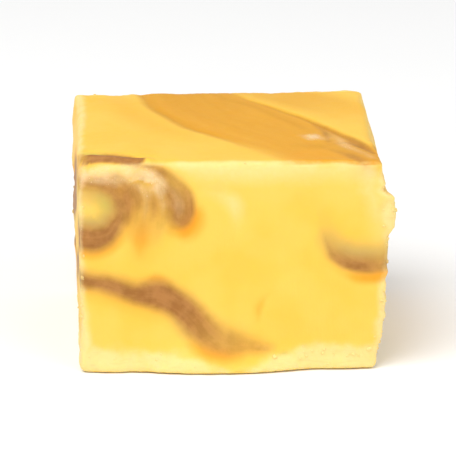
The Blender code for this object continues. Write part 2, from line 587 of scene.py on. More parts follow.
for number in from_left.keys() & from_right.keys():
    across, along = from_left[number]
    forward = eased((centre.y - BAND_SOFTENS - places[number].y) / BAND_SOFTENING)
    fading = BAND_SOFT + (BAND_SOFT_END - BAND_SOFT) * forward
    inside = eased(across / fading + 0.5) * eased(0.5 - from_right[number] / BAND_SOFT)
    on_the_top = eased((facings[number].z - 0.35) / 0.3)
    add_mark("tan", number, inside * on_the_top)
    if inside * on_the_top > pull[number]:
        across_flow[number], along_flow[number] = across, along
streak("groove", *left_border, soft=(1.0, 0.8))
streak("groove", *right_border, soft=(0.5, 0.3))
streak("ochre", *left_border, soft=(1.4, 0.9))
streak("ochre", *right_border, soft=(0.5, 0.9))
streak(
    "ochre",
    on_top(-1.9, 14.6, 0.35, 0.4),
    on_top(0.6, 10.4, 0.45, 0.5),
    on_top(2.9, 7.6, 0.5, 0.5),
    on_top(4.9, 4.4, 0.5, 0.45),
    on_top(6.7, 1.6, 0.5, 0.5),
    on_top(8.4, -1.6, 0.4, 0.45),
    soft=(1.1, 0.8),
)
# Thin lines run on down the band, and it is a little browner where it starts at the back.
for shift, half, strength in (
    (2.2, 0.25, 0.16),
    (3.4, 0.50, 0.20),
    (5.0, 0.40, 0.14),
    (6.4, 0.60, 0.16),
    (8.4, 0.40, 0.10),
):
    streak(
        "ochre",
        on_top(-9.4 + shift, 13.6, half, strength),
        on_top(-8.0 + shift, 8.0, half, strength * 1.2),
        on_top(-4.6 + shift, 1.6, half, strength),
        on_top(0.6 + shift, -4.6, half, strength * 0.6),
        on_top(4.6 + shift, -10.6, half, strength * 0.2),
        soft=(0.9, 0.9),
    )
streak(
    "ochre",
    on_top(-4.6, 14.4, 4.0, 0.3),
    on_top(-3.4, 10.0, 3.8, 0.22),
    on_top(-1.0, 5.0, 3.4, 0.1),
    on_top(1.0, 1.0, 2.4, 0.02),
    soft=(2.0, 2.0),
)
streak(
    "pale",
    on_top(-7.0, 7.0, 0.3, 0.15),
    on_top(-4.7, 2.8, 0.35, 0.3),
    on_top(-2.2, -0.8, 0.3, 0.2),
    soft=(0.8, 0.8),
)
# Warmer fudge on both sides of it.
streak(
    "tan",
    on_top(-12.4, 11.0, 2.0, 0.25),
    on_top(-10.2, 4.6, 2.0, 0.35),
    on_top(-6.4, -1.4, 1.6, 0.3),
    on_top(-2.2, -5.6, 0.8, 0.12),
    soft=(3.4, 3.0),
)
streak(
    "tan",
    on_top(3.4, 14.4, 2.6, 0.55),
    on_top(8.4, 11.0, 3.6, 0.7),
    on_top(12.2, 7.0, 3.6, 0.5),
    on_top(14.6, 2.0, 2.4, 0.15),
    soft=(2.8, 2.4),
)
# Its rough end at the front right corner, with brown, amber and sugar.
streak(
    "brown",
    on_top(8.0, -1.0, 0.8, 0.1),
    on_top(10.4, -3.6, 1.3, 0.15),
    on_top(12.2, -7.0, 1.6, 0.2),
    on_top(13.4, -10.4, 1.8, 0.24),
    on_top(14.4, -14.0, 1.6, 0.24),
    soft=(1.2, 1.8),
)
streak(
    "brown",
    on_top(7.2, 4.5, 0.15, 0.15),
    on_top(9.4, 1.4, 0.25, 0.3),
    on_top(10.7, -0.5, 0.35, 0.4),
    on_top(12.1, -3.0, 0.4, 0.35),
    on_top(13.2, -5.2, 0.45, 0.42),
    on_top(14.2, -7.6, 0.6, 0.48),
    on_top(15.2, -10.2, 0.6, 0.36),
    soft=(0.4, 0.9),
)
streak(
    "brown",
    on_top(9.8, -0.4, 0.25, 0.3),
    on_top(10.7, -2.4, 0.35, 0.4),
    on_top(11.0, -4.4, 0.35, 0.4),
    on_top(10.9, -6.6, 0.3, 0.25),
)
streak("brown", on_top(11.6, -7.4, 0.2, 0.2), on_top(13.0, -7.2, 0.3, 0.35), on_top(14.2, -8.6, 0.3, 0.3))
streak(
    "brown",
    on_top(10.0, -8.6, 0.3, 0.15),
    on_top(11.2, -10.2, 0.5, 0.28),
    on_top(12.4, -11.8, 0.6, 0.34),
    on_top(13.4, -13.2, 0.6, 0.38),
    on_top(14.2, -14.6, 0.5, 0.3),
    soft=(0.8, 0.6),
)
streak(
    "amber",
    on_top(3.6, -13.4, 0.6, 0.2),
    on_top(6.6, -12.0, 1.8, 0.32),
    on_top(9.0, -11.4, 2.4, 0.42),
    on_top(11.0, -12.2, 1.6, 0.35),
    on_top(12.8, -13.8, 0.8, 0.3),
    soft=(2.4, 2.0),
)
streak(
    "ochre",
    on_top(7.4, -8.0, 0.6, 0.25),
    on_top(9.4, -8.2, 0.9, 0.45),
    on_top(10.8, -7.8, 0.5, 0.3),
    soft=(1.2, 1.2),
)
streak("khaki", on_top(11.0, -3.0, 0.3, 0.25), on_top(11.4, -4.8, 0.4, 0.35), soft=(0.7, 0.7))
streak(
    "crystal",
    on_top(8.0, -4.2, 0.7, 0.4),
    on_top(9.3, -4.8, 1.2, 0.8),
    on_top(10.3, -5.4, 0.7, 0.5),
    soft=(1.8, 1.8),
)
streak(
    "crystal",
    on_top(11.4, -2.8, 0.4, 0.25),
    on_top(12.0, -5.2, 0.6, 0.45),
    on_top(12.6, -8.0, 0.8, 0.5),
    on_top(13.8, -10.6, 0.7, 0.42),
    on_top(15.0, -12.6, 0.7, 0.42),
    soft=(1.2, 1.2),
)
streak("crystal", on_front(13.8, 22.6, 0.5, 0.3), on_front(15.5, 22.0, 0.7, 0.5), soft=(1.4, 1.4))
streak(
    "crystal",
    on_top(-3.2, 14.3, 0.4, 0.3),
    on_top(-1.8, 14.3, 0.5, 0.45),
    on_top(-0.2, 14.3, 0.4, 0.3),
    soft=(1.2, 1.2),
)
# The fold at the front left: brown that folded over on itself, ending in a crease.
streak(
    "brown",
    on_left(-9.4, 22.6, 0.5, 0.4),
    on_top(-15.7, -11.1, 1.0, 0.6),
    on_top(-14.8, -11.45, 1.45, 0.95),
    on_top(-13.4, -11.65, 1.55, 1.0),
    on_top(-11.8, -12.15, 1.45, 1.0),
    on_top(-10.9, -12.7, 1.25, 1.0),
    on_top(-10.2, -13.05, 1.05, 0.9),
    soft=(0.5, 0.6),
)
# Olive and khaki along the crease behind the fold: painted shade in the crease.
streak(
    "olive",
    on_top(-15.8, -9.2, 0.5, 0.5),
    on_top(-14.6, -10.1, 0.5, 0.8),
    on_top(-13.4, -10.2, 0.3, 0.4),
)
streak(
    "khaki",
    on_top(-14.4, -10.0, 0.4, 0.4),
    on_top(-12.4, -10.2, 0.4, 0.35),
    on_top(-10.6, -11.0, 0.3, 0.2),
    soft=(0.8, 0.8),
)
streak(
    "groove",
    on_top(-15.6, -9.2, 0.25, 0.6),
    on_top(-14.2, -10.0, 0.35, 1.0),
    on_top(-11.8, -10.8, 0.35, 1.0),
    on_top(-9.6, -12.0, 0.25, 0.8),
    soft=(0.3, 0.7),
)
# Pale sugar under the fold, drawn into a small whorl.
streak(
    "crystal",
    on_left(-12.8, 22.3, 1.0, 0.6),
    on_front(-16.2, 22.5, 0.85, 0.65),
    on_front(-14.0, 22.4, 1.0, 0.7),
    on_front(-12.4, 22.4, 0.8, 0.6),
    on_front(-11.2, 22.3, 0.85, 0.68),
    on_front(-9.9, 22.0, 0.95, 0.66),
    on_front(-8.7, 21.6, 0.9, 0.85),
    on_front(-7.9, 21.2, 0.6, 0.75),
    on_front(-8.1, 20.6, 0.7, 0.72),
    on_front(-9.2, 20.2, 0.6, 0.32),
    on_front(-10.0, 20.7, 0.4, 0.2),
    soft=(1.2, 1.2),
)
# A pale line down the front left edge, in the sugar colour: sugar, with a painted highlight along that edge.
streak(
    "crystal",
    on_front(-16.3, 22.4, 0.3, 0.6),
    on_front(-16.3, 18.0, 0.3, 0.6),
    on_front(-16.3, 13.0, 0.3, 0.55),
    on_front(-16.3, 8.6, 0.2, 0.35),
    soft=(0.7, 0.7),
)
streak(
    "crystal",
    on_front(-9.5, 20.4, 0.5, 0.34),
    on_front(-9.3, 18.8, 0.5, 0.38),
    on_front(-9.5, 17.2, 0.4, 0.3),
    on_front(-9.5, 15.6, 0.3, 0.15),
    soft=(0.8, 0.8),
)
streak(
    "crystal",
    on_front(-7.7, 20.0, 0.4, 0.4),
    on_front(-7.6, 18.6, 0.45, 0.45),
    on_front(-7.7, 17.2, 0.3, 0.25),
    soft=(0.8, 0.8),
)
streak(
    "brown",
    on_front(-12.9, 22.1, 0.2, 0.2),
    on_front(-12.3, 22.0, 0.3, 0.4),
    on_front(-11.6, 21.6, 0.2, 0.2),
)
streak(
    "crystal",
    on_front(-11.2, 21.4, 0.3, 0.2),
    on_front(-10.4, 21.0, 0.5, 0.34),
    on_front(-9.8, 20.4, 0.3, 0.15),
    soft=(0.9, 0.9),
)
streak(
    "crystal",
    on_front(-15.0, 21.1, 0.4, 0.15),
    on_front(-13.4, 21.3, 0.6, 0.34),
    on_front(-12.3, 21.1, 0.65, 0.42),
    on_front(-11.4, 20.6, 0.4, 0.2),
    soft=(0.9, 0.9),
)
streak(
    "khaki",
    on_front(-12.8, 22.1, 0.3, 0.15),
    on_front(-11.2, 22.0, 0.5, 0.22),
    on_front(-9.6, 21.7, 0.6, 0.26),
    on_front(-9.4, 20.9, 0.5, 0.2),
    soft=(0.9, 0.9),
)
streak(
    "brown",
    on_front(-9.1, 22.5, 0.3, 0.12),
    on_front(-8.4, 22.3, 0.5, 0.34),
    on_front(-7.5, 22.0, 0.5, 0.32),
    soft=(0.8, 0.8),
)
streak(
    "brown",
    on_front(-11.0, 20.8, 0.5, 0.25),
    on_front(-10.3, 20.2, 0.5, 0.3),
    on_front(-10.3, 19.2, 0.3, 0.15),
    soft=(0.9, 0.9),
)
streak(
    "brown",
    on_front(-10.2, 22.8, 0.1, 0.3),
    on_front(-9.2, 22.9, 0.25, 0.7),
    on_front(-8.3, 22.7, 0.15, 0.5),
    soft=(0.4, 0.4),
)
streak(
    "brown",
    on_front(-9.9, 22.0, 0.1, 0.1),
    on_front(-9.5, 21.5, 0.25, 0.4),
    on_front(-9.9, 20.9, 0.2, 0.25),
    soft=(0.5, 0.5),
)

# A slit and a pit that the knife opened in the front.
streak(
    "groove",
    on_front(3.8, 8.9, 0.1, 0.1),
    on_front(3.0, 7.9, 0.2, 0.3),
    on_front(2.5, 6.8, 0.25, 0.35),
    on_front(2.6, 5.7, 0.15, 0.15),
    soft=(0.4, 0.8),
)
streak(
    "amber",
    on_front(3.8, 8.9, 0.2, 0.2),
    on_front(3.1, 7.9, 0.45, 0.42),
    on_front(2.6, 6.8, 0.5, 0.5),
    on_front(2.5, 5.7, 0.35, 0.25),
    soft=(0.6, 0.9),
)
streak("groove", on_front(5.3, 1.8, 0.2, 0.9), on_front(5.7, 1.8, 0.2, 0.9))
# Olive in the pit: painted shade in its hollow.
streak("olive", on_front(5.2, 1.8, 0.2, 1.0), on_front(5.7, 1.9, 0.2, 1.0))

# The left cut: a broad patch of brown at its back.
streak(
    "brown",
    on_left(-4.6, 20.6, 0.9, 0.6),
    on_left(-0.5, 18.4, 1.9, 0.9),
    on_left(4.8, 15.0, 2.6, 1.0),
    on_left(10.0, 12.8, 2.7, 0.95),
    on_back(-15.8, 12.4, 1.9, 0.9),
    on_back(-13.2, 13.0, 1.2, 0.9),
    on_back(-10.8, 12.2, 0.9, 1.0),
    on_back(-9.8, 10.2, 1.0, 1.0),
    on_back(-11.6, 8.0, 1.1, 1.0),
    on_back(-15.8, 7.1, 0.9, 0.9),
    on_left(8.0, 6.6, 1.0, 0.8),
    soft=(1.3, 0.7),
    glow=0.7,
    haze=0.7,
)
streak(
    "brown",
    on_left(-9.4, 3.0, 0.4, 0.4),
    on_left(-5.4, 3.9, 0.7, 0.6),
    on_left(-1.4, 2.9, 0.5, 0.4),
    soft=(1.0, 0.6),
    glow=0.6,
)
# The right cut: the thin top band runs down over its edge, a band sweeps in from the back and a curl
# turns there.
streak(
    "tan",
    on_right(-9.6, 23.2, 1.9, 0.9),
    on_right(-8.4, 21.2, 1.3, 0.8),
    on_right(-7.0, 19.0, 0.9, 0.6),
    on_right(-6.0, 17.2, 0.5, 0.3),
    soft=(1.2, 1.4),
)
streak(
    "brown",
    on_right(-8.2, 22.8, 0.5, 0.9),
    on_right(-6.9, 20.8, 0.5, 0.8),
    on_right(-6.2, 18.6, 0.3, 0.5),
    soft=(0.8, 0.5),
)
streak(
    "brown",
    on_right(-9.2, 5.4, 0.4, 0.3),
    on_right(-6.2, 7.9, 0.9, 0.8),
    on_right(-1.8, 9.9, 1.3, 0.95),
    on_right(2.6, 9.1, 1.5, 1.0),
    on_right(6.4, 6.6, 1.3, 1.0),
    on_right(10.4, 4.9, 1.0, 0.95),
    on_back(15.8, 4.2, 0.9, 0.9),
    on_back(12.4, 3.0, 1.1, 0.8),
    on_back(9.0, 1.2, 0.9, 0.6),
    soft=(1.4, 0.7),
    glow=0.8,
    haze=0.8,
)
streak(
    "brown",
    on_back(15.8, 12.7, 1.0, 1.0),
    on_right(10.8, 13.2, 1.0, 1.0),
    on_right(9.0, 15.3, 0.9, 1.0),
    on_right(9.4, 17.8, 0.8, 0.9),
    on_right(11.6, 19.0, 0.7, 0.8),
    on_back(15.8, 18.6, 0.6, 0.7),
    on_back(13.6, 17.2, 0.6, 0.6),
    soft=(0.7, 1.3),
    glow=0.2,
    haze=0.2,
)
# The back cut: the curl's foot runs on as a long band, and the top band hangs over as a tongue.
streak(
    "brown",
    on_back(-6.2, 5.6, 0.5, 0.4),
    on_back(-2.4, 4.7, 1.2, 0.8),
    on_back(1.8, 5.4, 1.5, 0.95),
    on_back(5.4, 7.6, 1.4, 1.0),
    on_back(9.0, 10.6, 1.1, 1.0),
    on_back(12.6, 12.2, 0.9, 0.95),
    on_back(15.8, 12.7, 1.0, 1.0),
    soft=(0.7, 1.3),
    glow=0.5,
    haze=0.5,
)
streak(
    "tan",
    on_back(-4.6, 23.2, 5.2, 1.0),
    on_back(-4.5, 21.0, 3.8, 0.95),
    on_back(-3.9, 18.8, 2.5, 0.9),
    on_back(-3.3, 17.0, 1.3, 0.7),
    on_back(-3.0, 16.0, 0.5, 0.4),
    soft=(1.0, 1.0),
)
streak(
    "brown",
    on_back(-9.8, 22.9, 0.35, 0.7),
    on_back(-8.4, 20.8, 0.4, 0.8),
    on_back(-6.4, 18.6, 0.45, 0.8),
    on_back(-4.4, 16.8, 0.6, 0.9),
    on_back(-2.4, 15.6, 0.5, 0.7),
    on_back(-0.8, 15.2, 0.3, 0.4),
    soft=(0.7, 0.7),
)
streak(
    "brown",
    on_back(10.2, 21.9, 0.7, 0.6),
    on_back(9.4, 20.0, 1.1, 0.9),
    on_back(9.6, 18.0, 1.2, 1.0),
    on_back(10.2, 16.8, 0.8, 0.9),
    soft=(0.8, 0.8),
    glow=0.7,
)
# Thin wisps that the swirling drew out beside the bands of these three cuts.
streak(
    "ochre",
    on_right(-3.4, 13.2, 0.2, 0.2),
    on_right(1.4, 13.4, 0.5, 0.45),
    on_right(6.0, 10.9, 0.5, 0.4),
    on_right(10.4, 8.4, 0.2, 0.2),
    soft=(1.2, 1.2),
)
streak(
    "tan",
    on_right(1.0, 20.4, 0.4, 0.2),
    on_right(5.2, 18.0, 0.9, 0.45),
    on_right(7.0, 14.4, 0.5, 0.3),
    soft=(1.8, 1.8),
)
streak(
    "ochre",
    on_left(-9.0, 8.4, 0.3, 0.25),
    on_left(-3.0, 6.2, 0.5, 0.45),
    on_left(3.2, 4.5, 0.5, 0.4),
    on_left(9.0, 4.2, 0.3, 0.25),
    soft=(1.2, 1.2),
)
streak(
    "tan",
    on_left(-8.6, 13.2, 0.4, 0.3),
    on_left(-3.4, 12.6, 0.8, 0.5),
    on_left(0.8, 10.9, 0.4, 0.3),
    soft=(1.6, 1.6),
)
streak(
    "tan",
    on_back(3.4, 17.4, 0.4, 0.25),
    on_back(6.6, 14.8, 0.7, 0.5),
    on_back(11.0, 14.4, 0.6, 0.4),
    on_back(15.0, 15.0, 0.3, 0.2),
    soft=(1.6, 1.6),
)
streak(
    "ochre",
    on_back(-14.4, 4.2, 0.3, 0.2),
    on_back(-8.4, 4.6, 0.6, 0.45),
    on_back(-3.8, 7.6, 0.6, 0.45),
    on_back(1.6, 8.8, 0.3, 0.2),
    soft=(1.4, 1.4),
)
streak(
    "brown",
    on_back(-13.6, 19.4, 0.2, 0.15),
    on_back(-11.8, 18.4, 0.3, 0.4),
    on_back(-10.6, 16.6, 0.2, 0.2),
    soft=(0.9, 0.9),
)
# The foot: broad, soft swirls pressed flat by the tray.
streak(
    "brown",
    on_foot(-1.6, -14.0, 1.2, 0.3),
    on_foot(0.6, -9.0, 1.5, 0.55),
    on_foot(4.4, -4.2, 2.0, 0.7),
    on_foot(9.6, -1.4, 1.6, 0.6),
    on_foot(15.6, 1.6, 0.8, 0.3),
    soft=(1.6, 1.0),
    glow=0.5,
)
streak(
    "brown",
    on_foot(-15.6, 7.2, 0.8, 0.3),
    on_foot(-10.2, 6.8, 1.3, 0.6),
    on_foot(-5.0, 3.8, 1.8, 0.7),
    on_foot(-1.6, 7.6, 1.4, 0.6),
    on_foot(2.2, 12.6, 0.9, 0.4),
    soft=(1.4, 1.0),
    glow=0.5,
)


def edge_gap(p):
    """How far a place is from the nearest edge: the second least of its gaps to the cuts and the top."""
    to_side = min(p.x - left_cut, right_cut - p.x)
    to_end = min(p.y - front_cut, back_cut - p.y)
    return max(sorted((to_side, to_end, poured_top - p.z))[1], 0.0)


# The knife leaves the edges paler and rougher, most of all along the foot, where the tray side broke away;
# the paler upper edges also carry a painted highlight.
RIM_REACH = 1.3 * MM
FOOT_RIM, FOOT_RIM_SOFT = 3.1 * MM, 1.7 * MM
FOOT_RIM_THIN, THIN_MIDDLE, THIN_REACH = 0.75, -0.6 * MM, 5.0 * MM
RIM_GRAIN, COARSER = 1.3 * MM, 3.1
LOW_DOWN, LOW_DOWN_START = 9.0 * MM, 1.4
TRAY_SIDE = 6 * MM
rims = []
for number, p in enumerate(places):
    patchy = 0.5 + 0.5 * noise.noise(p / RIM_GRAIN) + 0.4 * noise.noise(p / (COARSER * RIM_GRAIN))
    low_down = eased(LOW_DOWN_START - p.z / LOW_DOWN)
    rim = hill(edge_gap(p), 0.0, RIM_REACH * (0.6 + 0.5 * patchy + 0.5 * low_down))
    upright = 1.0 - eased((abs(facings[number].z) - 0.6) / 0.3)
    to_side = min(p.x - left_cut, right_cut - p.x, TRAY_SIDE) / TRAY_SIDE
    thick = FOOT_RIM * (1.05 - 0.15 * to_side + 0.25 * noise.noise(Vector((p.x, p.y, 0.0)) / TRAY_SIDE))
    thick *= 1.0 - FOOT_RIM_THIN * hill(p.x, THIN_MIDDLE, THIN_REACH)
    foot_rim = upright * eased((thick - p.z) / FOOT_RIM_SOFT + 0.5 * patchy)
    rims.append(max(rim * 0.7, foot_rim * (0.6 + 0.4 * patchy)))
    paled = max(rim * (0.5 + 0.5 * low_down + 0.4 * patchy), foot_rim * (0.65 + 0.4 * patchy))
    add_mark("pale", number, paled)

# Burrs that the knife left on the right front edge: their height, half height and how far they stand out. The
# notches between them run farther back into the cut.
BURR_REACH, NOTCH_REACH = 1.8 * MM, 8.0 * MM
BURRS = (
    (19.1 * MM, 0.60 * MM, 0.24 * MM),
    (15.7 * MM, 0.8 * MM, 0.22 * MM),
    (13.6 * MM, 1.3 * MM, 0.12 * MM),
    (5.9 * MM, 0.5 * MM, 0.22 * MM),
    (3.6 * MM, 0.5 * MM, 0.14 * MM),
)
NOTCHES = (
    (21.4 * MM, 1.9 * MM, 0.36 * MM),
    (19.95 * MM, 0.75 * MM, 0.62 * MM),
    (17.8 * MM, 1.6 * MM, 0.20 * MM),
    (11.2 * MM, 1.0 * MM, 0.16 * MM),
    (10.0 * MM, 1.0 * MM, 0.42 * MM),
    (8.7 * MM, 1.0 * MM, 0.28 * MM),
    (4.6 * MM, 3.6 * MM, 0.30 * MM),
    (0.0 * MM, 4.5 * MM, 0.55 * MM),
)
# The folded brown stands back up to the level of the top, where the solid has its broad crease.
FOLD_FROM, FOLD_TO = on_top(-16.4, -11.0, 1.3, 0.36), on_top(-9.3, -12.9, 1.3, 0.36)
KNIFE_EDGE, KNIFE_REACH = 0.18 * MM, 0.85 * MM
# The left cut bellies out towards the back: height, half height and how far out.
BELLIES = (
    (18.0 * MM, 5.0 * MM, 0.15 * MM),
    (10.4 * MM, 4.6 * MM, 0.55 * MM),
    (4.2 * MM, 5.6 * MM, 0.50 * MM),
)
# Both sides draw in just under the top towards the back, where the top stands a little higher and ends in
# crisp corners. The right edge of the top bows inwards on its way there.
DRAWN_IN, DRAWN_ABOVE, DRAWN_REACH = 0.40 * MM, 0.7 * MM, 4.0 * MM
RIGHT_BOW, BOW_MIDDLE, BOW_HALF = 0.30 * MM, 0.4, 0.6
CORNER_OUT, CORNER_REACH = 0.25 * MM, 4.0 * MM
TIP_OUT, TIP_REACH = 0.30 * MM, 1.4 * MM
CROWN, CROWN_HALF = 0.38 * MM, 30.0 * MM
WAVES = ((5.0 * MM, 0.05 * MM), (1.7 * MM, 0.02 * MM), (0.75 * MM, 0.01 * MM))
CRUMBLE_SIZE, CRUMBLE = 0.95 * MM, 0.12 * MM
GROOVE_DEPTH = 0.18 * MM
BROWN_SINK, BAND_SINK = 0.05 * MM, 0.06 * MM
CRYSTAL_SIZE, CRYSTAL_LIFT = 0.6 * MM, 0.11 * MM
FLAT_FOOT = 0.3 * MM
cuts = []


def fold_lift(p):
    """How far the fold stands up at a place of the top."""
    run = (FOLD_TO - FOLD_FROM).to_3d()
    along = (p - FOLD_FROM.to_3d()).dot(run) / run.length_squared
    nearest = FOLD_FROM.to_3d() + run * min(max(along, 0.0), 1.0)
    return FOLD_FROM[4] * MM * hill((p - nearest).xy.length, 0.0, FOLD_FROM[3])


# Each place of the block moves along its facing for the fine relief, and then along the axes for each form.
for number, v in enumerate(block.data.vertices):
    p = places[number]
    lift = sum(noise.noise(p / size) * amount for size, amount in WAVES)
    backward = eased((p.y - front_cut) / (back_cut - front_cut))
    lift += KNIFE_EDGE * (0.15 + 0.85 * backward) * hill(edge_gap(p), 0.0, KNIFE_REACH)
    crumbs = noise.noise(p / CRUMBLE_SIZE) + 0.5 * noise.noise(p / (0.45 * CRUMBLE_SIZE))
    lift += CRUMBLE * rims[number] * (crumbs - 0.15)
    lift -= GROOVE_DEPTH * swirl["groove"][number]
    lift -= BROWN_SINK * swirl["brown"][number] + BAND_SINK * swirl["tan"][number]
    lift += CRYSTAL_LIFT * swirl["crystal"][number] * abs(noise.noise(p / CRYSTAL_SIZE)) * 3.0
    away_from_foot = eased(p.z / FLAT_FOOT)
    v.co = p + facings[number] * lift * (0.2 + 0.8 * away_from_foot)
    v.co.z += fold_lift(p) * eased((facings[number].z - 0.3) / 0.4)
    to_side = (p.x - centre.x) / (right_cut - centre.x)
    drawn_in = DRAWN_IN * hill(p.z, poured_top + DRAWN_ABOVE, DRAWN_REACH)
    belly = sum(out * hill(p.z, height, half) for height, half, out in BELLIES)
    v.co.x -= backward * (belly - drawn_in) * eased(-to_side)
    v.co.x -= (0.3 + 0.7 * backward) * drawn_in * eased(to_side)
    bow = RIGHT_BOW * hill(backward, BOW_MIDDLE, BOW_HALF)
    v.co.x -= bow * hill(p.z, poured_top, DRAWN_REACH) * eased(to_side)
    v.co.z += CROWN * backward * hill(p.x, 0.0, CROWN_HALF) * eased(2.0 * p.z / poured_top - 1.0)
    back_corner = Vector((math.copysign(right_cut - centre.x, to_side) + centre.x, back_cut, poured_top))
    from_corner = (p - back_corner).length
    corner = CORNER_OUT * hill(from_corner, 0.0, CORNER_REACH)
    tip = TIP_OUT * hill(from_corner, 0.0, TIP_REACH)
    v.co += Vector((math.copysign(corner + tip, to_side), 0.0, corner * 0.5 + tip))
    from_edge = Vector((p.x - right_cut, p.y - front_cut)).length
    if from_edge < NOTCH_REACH:
        burr = sum(out * hill(p.z, height, half) for height, half, out in BURRS)
        notch = sum(deep * hill(p.z, height, half) for height, half, deep in NOTCHES)
        v.co.x += burr * hill(from_edge, 0.0, BURR_REACH) - notch * hill(from_edge, 0.0, NOTCH_REACH)
    v.co.z = max(v.co.z, 0.0)
    cuts.append(1.0 - eased((facings[number].z - 0.4) / 0.3))

marks = {**swirl, "rim": rims, "cut": cuts, "across": across_flow, "along": along_flow}
for name, amounts in marks.items():
    block.data.attributes.new(name, "FLOAT", "POINT").data.foreach_set("value", amounts)
block.data.shade_smooth()


class Tone:
    """One value of a finish. Arithmetic on it adds the nodes that work it out."""

    def __init__(self, tree, socket=None):
        self.tree = tree
        self.socket = socket

    def node(self, kind, settings=None, inputs=None, out=0):
        """Adds a node, sets it up, gives its sockets values or links, and returns one of its outputs."""
        made = self.tree.nodes.new("ShaderNode" + kind)
        for name, value in (settings or {}).items():
            setattr(made, name, value)
        for name, value in (inputs or {}).items():
            if isinstance(value, Tone):
                self.tree.links.new(value.socket, made.inputs[name])
            else:
                made.inputs[name].default_value = value
        return Tone(self.tree, made.outputs[out])

    def maths(self, operation, first, second):
        return self.node("Math", {"operation": operation}, {0: first, 1: second})

    def __add__(self, other):
        return self.maths("ADD", self, other)

    def __sub__(self, other):
        return self.maths("SUBTRACT", self, other)

    def __rsub__(self, other):
        return self.maths("SUBTRACT", other, self)

    def __mul__(self, other):
        return self.maths("MULTIPLY", self, other)

    __radd__, __rmul__ = __add__, __mul__

    def rise(self, low, high):
        """0 up to low, 1 from high, and a smooth step between."""
        reach = {"Value": self, "From Min": low, "From Max": high}
        return self.node("MapRange", {"interpolation_type": "SMOOTHSTEP"}, reach)

    def cover(self, under, colour):
        """A colour laid over what is under it, this thickly."""
        return self.node("Mix", {"data_type": "RGBA"}, {0: self, 6: under, 7: colour}, out=2)

    def grain(self, place, size, detail=3.0, rough=0.55):
        """Cloudy noise whose clouds are about this size."""
        inputs = {"Vector": place, "Scale": 1.0 / size, "Detail": detail, "Roughness": rough}
        return self.node("TexNoise", {}, inputs)

    def marked(self, mark):
        """How much of a mark, one of the dyes or painted light and shade, is at each place."""
        return self.node("Attribute", {"attribute_name": mark}, out=2)

    def feed(self, skin, name):
        """Leads this value into a socket of a surface."""
        self.tree.links.new(self.socket, skin.inputs[name])


def new_finish(name):
    """An empty material: it, the start of its tones and its surface."""
    material = bpy.data.materials.new(name)
    material.use_nodes = True
    tree = material.node_tree
    return material, Tone(tree), tree.nodes["Principled BSDF"]


YELLOW = (0.885, 0.562, 0.092, 1.0)
WARM_YELLOW = (0.885, 0.520, 0.062, 1.0)
PALE_YELLOW = (0.84, 0.65, 0.255, 1.0)
KHAKI = (0.55, 0.36, 0.095, 1.0)
OLIVE = (0.53, 0.45, 0.08, 1.0)
OCHRE = (0.60, 0.265, 0.006, 1.0)
AMBER = (0.80, 0.335, 0.014, 1.0)
TAN = (0.72, 0.335, 0.019, 1.0)
BROWN = (0.31, 0.125, 0.026, 1.0)
LIGHT_BROWN = (0.42, 0.185, 0.05, 1.0)
SUGAR = (0.83, 0.63, 0.37, 1.0)
CLEAR_SUGAR = (0.82, 0.60, 0.33, 1.0)
CLOUDY_SUGAR = (0.74, 0.46, 0.21, 1.0)


